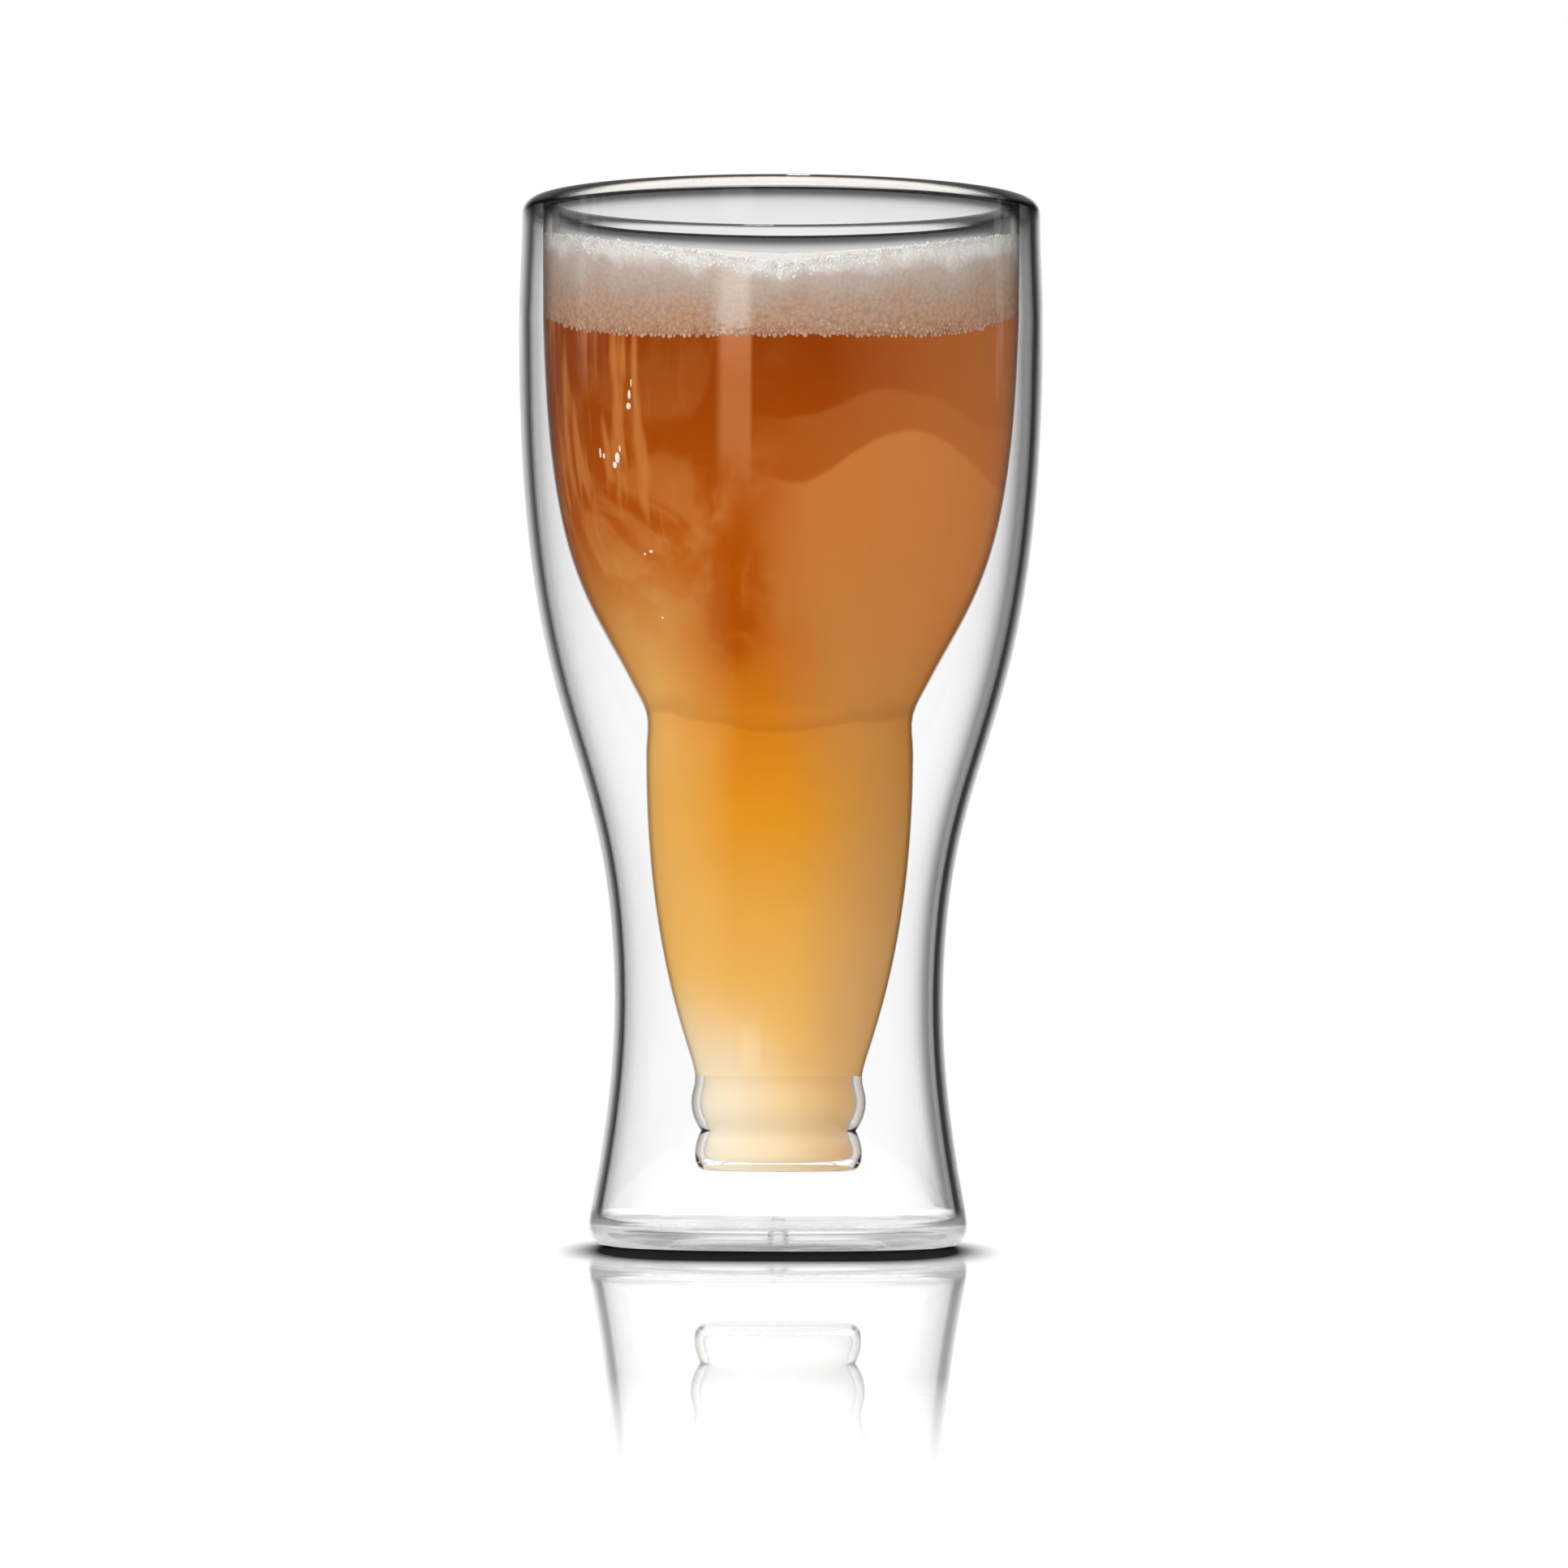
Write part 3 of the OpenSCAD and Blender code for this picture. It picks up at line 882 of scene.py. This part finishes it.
def makeBubbleTree():
    tree, given = newGroup("bubbleScatter", "GeometryNodeTree", {
        "Ribbon": "Geometry", "Apart": "Float", "Smallest": "Float", "Largest": "Float", "Seed": "Int",
        "Finish": "Material",
    }, {"Bubbles": "Geometry"})
    spread = {"Mesh": given["Ribbon"], "Distance Min": given["Apart"], "Seed": given["Seed"],
              "Density Max": bubbleSetup["density"]}
    strewn = addNode(tree, "GeometryNodeDistributePointsOnFaces", spread, distribute_method="POISSON")
    shape = {"Segments": bubbleSetup["segments"], "Rings": bubbleSetup["rings"], "Radius": 1.0}
    ball = addNode(tree, "GeometryNodeMeshUVSphere", shape).outputs[0]
    smooth = addNode(tree, "GeometryNodeSetShadeSmooth", {"Geometry": ball}).outputs[0]
    size = addNode(tree, "FunctionNodeRandomValue", {"Seed": given["Seed"]}, data_type="FLOAT")
    numbers = [socket for socket in size.inputs if socket.enabled]
    for socket, value in zip(numbers, (given["Smallest"], given["Largest"])):
        tree.links.new(value, socket)
    drawn = next(socket for socket in size.outputs if socket.enabled)
    balls = {"Points": strewn.outputs["Points"], "Instance": smooth, "Scale": drawn}
    endGeometry(tree, addNode(tree, "GeometryNodeInstanceOnPoints", balls).outputs[0], given["Finish"])
    return tree


bubbleTree = makeBubbleTree()


def makeBubbleFinish(name, colour, gaps):
    material, tree = newMaterial(name)
    mottle = addNoise(tree, objectPlace(tree), bubbleSetup["mottle"])[0]
    share = mapRange(tree, mottle, *bubbleSetup["mottleEdge"])
    showSurface(tree, addShader(tree, "BsdfPrincipled", {
        "Base Color": mixColour(tree, share, paint(*gaps), paint(*colour)),
        "Roughness": 0.15,
        "Coat Weight": 0.5,
        "Subsurface Weight": 0.2,
        "Subsurface Scale": 0.5 * mm,
    }))
    return material


def makeBubbles(name, key, lineHeight):
    setup, steps = bubbleSetup[key], bubbleSetup["steps"]
    points, faces = [], []
    for i in range(steps):
        angle = 2 * math.pi * i / steps
        side = math.atan2(math.sin(angle), math.cos(angle))
        for rise in (setup["from"], setup["to"]):
            height = lineHeight(side) + rise
            radius = boreRadius(height) + drinkSetup["wet"] - setup["depth"]
            points.append((radius * math.sin(angle), -radius * math.cos(angle), height))
        low, ahead = 2 * i, 2 * ((i + 1) % steps)
        faces.append((low, ahead, ahead + 1, low + 1))
    piece = newPiece(name, points, faces=faces)
    finish = makeBubbleFinish(key + "Bubbles", *bubbleSetup[key + "Colours"])
    setModifier(piece, bubbleTree, {**setup["sizes"], "Finish": finish})
    makePlain(piece)
    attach(piece, "root")
    print("bubbles:", name, len(piece.data.polygons), "faces")


makeBubbles("foam_top_bubbles", "top", foamTop)
makeBubbles("foam_edge_bubbles", "edge", beerTop)

# Bubbles that cling to the glass, near white as painted glints
sparkleSetup = {
    # In millimetres: distance to the right, height, half width and half height
    "spots": [(-24.6, 142.4, 0.3, 0.8), (-24.7, 140.5, 0.5, 0.6), (-24.3, 144.3, 0.15, 0.7),
              (-29.3, 133.2, 0.25, 0.9), (-28.7, 132.6, 0.3, 0.5), (-26.5, 132.2, 0.55, 1.0),
              (-26.9, 131.0, 0.5, 0.6), (-26.1, 133.6, 0.2, 0.6), (-21.0, 116.6, 0.35, 0.3),
              (-22.0, 116.2, 0.25, 0.25), (-19.1, 105.9, 0.2, 0.3)],
    "depth": 0.25,
    "segments": 10,
    "rings": 7,
    "colours": ((255, 253, 248), (252, 232, 200)),
}


def makeSparkles():
    rings = sparkleSetup["rings"]
    arc = [Vector((math.sin(math.pi * i / rings), -math.cos(math.pi * i / rings))) for i in range(rings + 1)]
    finish = makeBubbleFinish("sparkle", *sparkleSetup["colours"])
    ball = turnPiece("ball", arc, False, sparkleSetup["segments"], finish)
    ball.data.transform(Matrix.Rotation(math.pi / 2, 4, "Z"))  # a row of its corners faces the front
    points, faces = [], []
    for across, height, wide, tall in sparkleSetup["spots"]:
        radius = boreRadius(height * mm) + drinkSetup["wet"]
        angle = math.asin(across * mm / radius)
        spot = Matrix.Translation((across * mm, -radius * math.cos(angle), height * mm))
        size = Matrix.Diagonal((wide * mm, sparkleSetup["depth"] * mm, tall * mm, 1))
        place = spot @ Matrix.Rotation(angle, 4, "Z") @ size
        faces += [[len(points) + v for v in face.vertices] for face in ball.data.polygons]
        points += [place @ vertex.co for vertex in ball.data.vertices]
    bpy.data.meshes.remove(ball.data)
    piece = newPiece("clinging_glint_bubbles", points, faces=faces)
    piece.data.materials.append(finish)
    piece.data.shade_smooth()
    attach(piece, "root")
    print("sparkles:", len(piece.data.polygons), "faces")


makeSparkles()


# Floor, world and lamps
studioSetup = {
    "floorRadius": 3.0,
    "floorSides": 128,
    "floorTone": (0.86, 0.86, 0.86),
    "floorIndex": 1.45,
    "floorLift": 0.4,           # light that the floor adds for the eye, to reach white
    "contactReach": 130 * mm,   # how far towards the front the glass darkens the floor with painted shade
    "contactLean": (0, 0.93, 0.37),
    "contactEdge": (0.42, 0.6, 0.01, 1),
    # Painted shadow in front of the foot: half width, middle and half depth, its edge, and the views that show it, by
    # how strongly the floor mirrors there
    "shadowPatch": (34 * mm, -20 * mm, 75 * mm),
    "shadowPatchEdge": (0.6, 1.8, 0.01, 1),
    "shadowPatchViews": (0.2, 0.7),
    "fadeAway": (0.25, 0.9),    # radii between which the floor fades into the background
    "fadeInGlass": (0.08, 0.2),  # and as seen through the glass
    "cardAway": (0.6, 1),       # radii between which the floor takes on the grey card
    "mirrorAway": (0.48, 0.7, 1, 0),  # distances between which the mirror image of the glass fades
    "mirrorRough": 0.01,
    "passAway": (0.033, 0.04),  # radii from which reflections look past the floor
    "sky": (0.19, 0.36),        # sines of the height at which the bands give way to a white sky
    "rimTurn": (0.2, 0.35),     # how far the near side of the rim reaches
    "rimSky": 0.45,             # the sky as the near side of the rim mirrors it
    "rimGlow": 8,               # and as its other sides do
    "ambient": 0.88,            # plain light for matt surfaces
    "behindFrom": 0.6,          # the panels straight behind stand past this
    "roomLevel": 0.06,          # brightness of the room beside them
    # Strips brighter than the panels, as the outer wall shows them: sines of the heights at which they end
    "stripFoot": (0.04, 0.08),
    "stripTop": (0.17, 0.12),
    # Crossings of glass past which a reflection is one off the vessel's outside, or inside its wall
    "offVessel": 2.5,
    "inVessel": 4.5,
    # Brightness around the glass as its reflections see it: degrees from straight behind, right is positive
    "wallBands": [(-180, 0.1), (-168, 0.1), (-166, 3.5), (-154, 3.5), (-152, 0.1), (-96, 0.1), (-95, 1),
                  (-94, 1), (-93, 0.1), (-90, 0.1), (-89, 1.1), (-87.5, 1.1), (-86.5, 0.1), (-84, 0.1),
                  (-82.5, 1.3), (-80, 1.3), (-78.5, 0.1), (-32, 0.04), (-28, 0.1), (-24, 0.2), (-19.5, 0.5),
                  (-15, 1), (14, 0.9), (17, 0.5), (20, 0.18), (24, 0.04), (65, 0.03), (66, 1), (68, 1), (69, 0.1),
                  (180, 0.1)],
    # The same for the neck of the vessel inside it
    "vesselBands": [(-180, 0.1), (-80, 0.3), (-45, 0.8), (-30, 1), (25, 1), (40, 0.7), (80, 0.2), (180, 0.1)],
    # Brightness as seen through it: a soft grey card stands on the right
    "greyCard": [(-180, 1), (5, 1), (6.6, 0.92), (8.6, 0.62), (10, 0.4), (12, 0.3), (14, 0.36), (16, 0.5), (24, 1),
                 (180, 1)],
    # Lamps: place, size, power, and whether the glass mirrors them
    "lamps": {
        "key_softbox": ((-0.05, 0.9, 1.1), 0.3, 8, False),
        "fill_softbox": ((-0.3, -1.1, 0.8), 0.9, 7, False),
        "rim_glint": ((0.03, 0.9, 1.1), 0.04, 0.4, True),
    },
    "lampAim": (0, 0, 0.09),
    "bounces": 32,
}


def makePanelGroup(name):
    # Brightness of what stands around the glass, by direction
    tree, given = newGroup(name, "ShaderNodeTree", {"Direction": "Vector"}, {"Level": "Float"})
    right, ahead, _ = split(tree, given["Direction"])
    around = mapRange(tree, addMath(tree, "ARCTAN2", right, ahead), -math.pi, math.pi)
    brightest = max(level for _, level in studioSetup[name])
    shares = addRamp(tree, around, [((d + 180) / 360, level / brightest) for d, level in studioSetup[name]])
    addNode(tree, "NodeGroupOutput", {0: multiply(tree, shares, brightest)})
    return tree


panelGroups = {name: makePanelGroup(name) for name in ("wallBands", "vesselBands", "greyCard")}


def panelLevel(tree, name, direction):
    return addNode(tree, "ShaderNodeGroup", {0: direction}, node_tree=panelGroups[name]).outputs[0]


def atMostOne(tree, value):
    return addMath(tree, "MINIMUM", value, 1.0)


def makeFloor():
    circle = {"vertices": studioSetup["floorSides"], "radius": studioSetup["floorRadius"]}
    bpy.ops.mesh.primitive_circle_add(fill_type="NGON", **circle)
    floor = bpy.context.object
    floor.name = "pale_floor"
    material, tree = newMaterial("paleFloor")
    where = objectPlace(tree)
    away = addVector(tree, "LENGTH", where)
    rays = lightPath(tree)
    eye = rays["Is Camera Ray"]
    fresnel = addNode(tree, "ShaderNodeFresnel", {"IOR": studioSetup["floorIndex"]}).outputs[0]
    # Matt floor, with painted shade and a painted shadow close to the foot
    lean = addNode(tree, "ShaderNodeCombineXYZ", dict(enumerate(studioSetup["contactLean"]))).outputs[0]
    occlusion = {"Distance": studioSetup["contactReach"], "Normal": lean}
    unshaded = addNode(tree, "ShaderNodeAmbientOcclusion", occlusion, samples=16).outputs["AO"]
    # Painted shadow in front of the foot
    halfWidth, middle, halfDepth = studioSetup["shadowPatch"]
    across, along, _ = split(tree, where)
    wide = addMath(tree, "POWER", addMath(tree, "ABSOLUTE", addMath(tree, "DIVIDE", across, halfWidth)), 4.0)
    deep = addMath(tree, "DIVIDE", addMath(tree, "SUBTRACT", along, middle), halfDepth)
    shadowPatch = mapRange(tree, addMath(tree, "ADD", wide, multiply(tree, deep, deep)), *studioSetup["shadowPatchEdge"])
    shadowPatch = pick(tree, mapRange(tree, fresnel, *studioSetup["shadowPatchViews"]), 1.0, shadowPatch)
    shade = multiply(tree, shadowPatch, mapRange(tree, unshaded, *studioSetup["contactEdge"]))
    contactShade = pick(tree, eye, 1.0, shade)
    tone = addVector(tree, "SCALE", studioSetup["floorTone"], Scale=contactShade)
    matt = addShader(tree, "BsdfDiffuse", {"Color": tone})
    seen = addMath(tree, "MAXIMUM", eye, rays["Is Transmission Ray"])
    lift = addShader(tree, "Emission", {"Strength": multiply(tree, seen, contactShade, studioSetup["floorLift"])})
    lit = addShader(tree, "AddShader", {0: matt, 1: lift})
    # The far floor fades into the background
    fade = mapRange(tree, away, *studioSetup["fadeAway"], soft=True)
    fade = pick(tree, eye, mapRange(tree, away, *studioSetup["fadeInGlass"]), fade)
    card = panelLevel(tree, "greyCard", where)
    card = pick(tree, mapRange(tree, away, *studioSetup["cardAway"]), 1.0, card)
    glow = addShader(tree, "Emission", {"Strength": pick(tree, eye, card, 1.0)})
    pale = mixShader(tree, multiply(tree, fade, seen), lit, glow)
    # Mirror image of the glass, fading towards the camera; reflections in the glass look past the floor
    mirror = addShader(tree, "BsdfGlossy", {"Color": (1, 1, 1, 1), "Roughness": studioSetup["mirrorRough"]})
    near = mapRange(tree, away, *studioSetup["mirrorAway"])
    shown = mixShader(tree, multiply(tree, fresnel, near, eye, contactShade), pale, mirror)
    past = multiply(tree, atMostOne(tree, rays["Glossy Depth"]), mapRange(tree, away, *studioSetup["passAway"]))
    showSurface(tree, mixShader(tree, past, shown, addShader(tree, "BsdfTransparent")))
    floor.data.materials.append(material)


def makeWorld():
    world = bpy.data.worlds.new("whiteStudio")
    world.use_nodes = True
    scene.world = world
    tree = world.node_tree
    tree.nodes.clear()
    way = tree.nodes.new("ShaderNodeTexCoord").outputs["Generated"]
    _, ahead, rise = split(tree, way)
    rays = lightPath(tree)
    crossings = rays["Transmission Depth"]
    mirrored = atMostOne(tree, rays["Glossy Depth"])
    # Panels as the outer wall, the vessel's outside and the vessel's wall mirror them
    bands = panelLevel(tree, "wallBands", way)
    behind = addMath(tree, "GREATER_THAN", ahead, studioSetup["behindFrom"])
    plainBands = pick(tree, behind, studioSetup["roomLevel"], atMostOne(tree, bands))
    strips = addMath(tree, "MAXIMUM", addMath(tree, "SUBTRACT", bands, plainBands), 0.0)
    ends = [mapRange(tree, rise, *studioSetup[end]) for end in ("stripFoot", "stripTop")]
    onWall = addMath(tree, "ADD", plainBands, multiply(tree, strips, *ends))
    offVessel = addMath(tree, "GREATER_THAN", crossings, studioSetup["offVessel"])
    inVessel = addMath(tree, "GREATER_THAN", crossings, studioSetup["inVessel"])
    onVessel = pick(tree, inVessel, multiply(tree, plainBands, plainBands), panelLevel(tree, "vesselBands", way))
    panels = pick(tree, offVessel, onWall, onVessel)
    # The floor mirrors white, and the glass's outside mirrors the sky over the rim
    outside = addMath(tree, "SUBTRACT", 1.0, atMostOne(tree, crossings))
    offFloor = multiply(tree, outside, addMath(tree, "SUBTRACT", 1.0, rays["Is Singular Ray"]))
    panels = pick(tree, offFloor, panels, 1.0)
    rimLevel = mapRange(tree, ahead, *studioSetup["rimTurn"], studioSetup["rimGlow"], studioSetup["rimSky"])
    onRim = multiply(tree, addMath(tree, "SUBTRACT", outside, offFloor), mirrored)
    skyLevel = pick(tree, onRim, 1.0, rimLevel)
    around = pick(tree, mirrored, panelLevel(tree, "greyCard", way), panels)
    studio = pick(tree, mapRange(tree, rise, *studioSetup["sky"]), around, skyLevel)
    matt = pick(tree, rays["Is Diffuse Ray"], studio, studioSetup["ambient"])
    level = pick(tree, rays["Is Camera Ray"], matt, 1.0)
    light = addShader(tree, "Background", {"Color": (1, 1, 1, 1), "Strength": level})
    addNode(tree, "ShaderNodeOutputWorld", {"Surface": light})


def addSoftbox(name, place, size, power, mirrored):
    lamp = bpy.data.lights.new(name, "AREA")
    lamp.size = size
    lamp.energy = power
    box = bpy.data.objects.new(name, lamp)
    scene.collection.objects.link(box)
    box.location = place
    box.rotation_euler = (Vector(studioSetup["lampAim"]) - Vector(place)).to_track_quat("-Z", "Y").to_euler()
    box.visible_camera = False
    box.visible_glossy = mirrored
    box.visible_transmission = False


makeFloor()
makeWorld()
for lampName, lampValues in studioSetup["lamps"].items():
    addSoftbox(lampName, *lampValues)
scene.cycles.max_bounces = studioSetup["bounces"]
scene.cycles.transmission_bounces = studioSetup["bounces"]
scene.cycles.transparent_max_bounces = studioSetup["bounces"]
print("studio: floor, world and lamps")
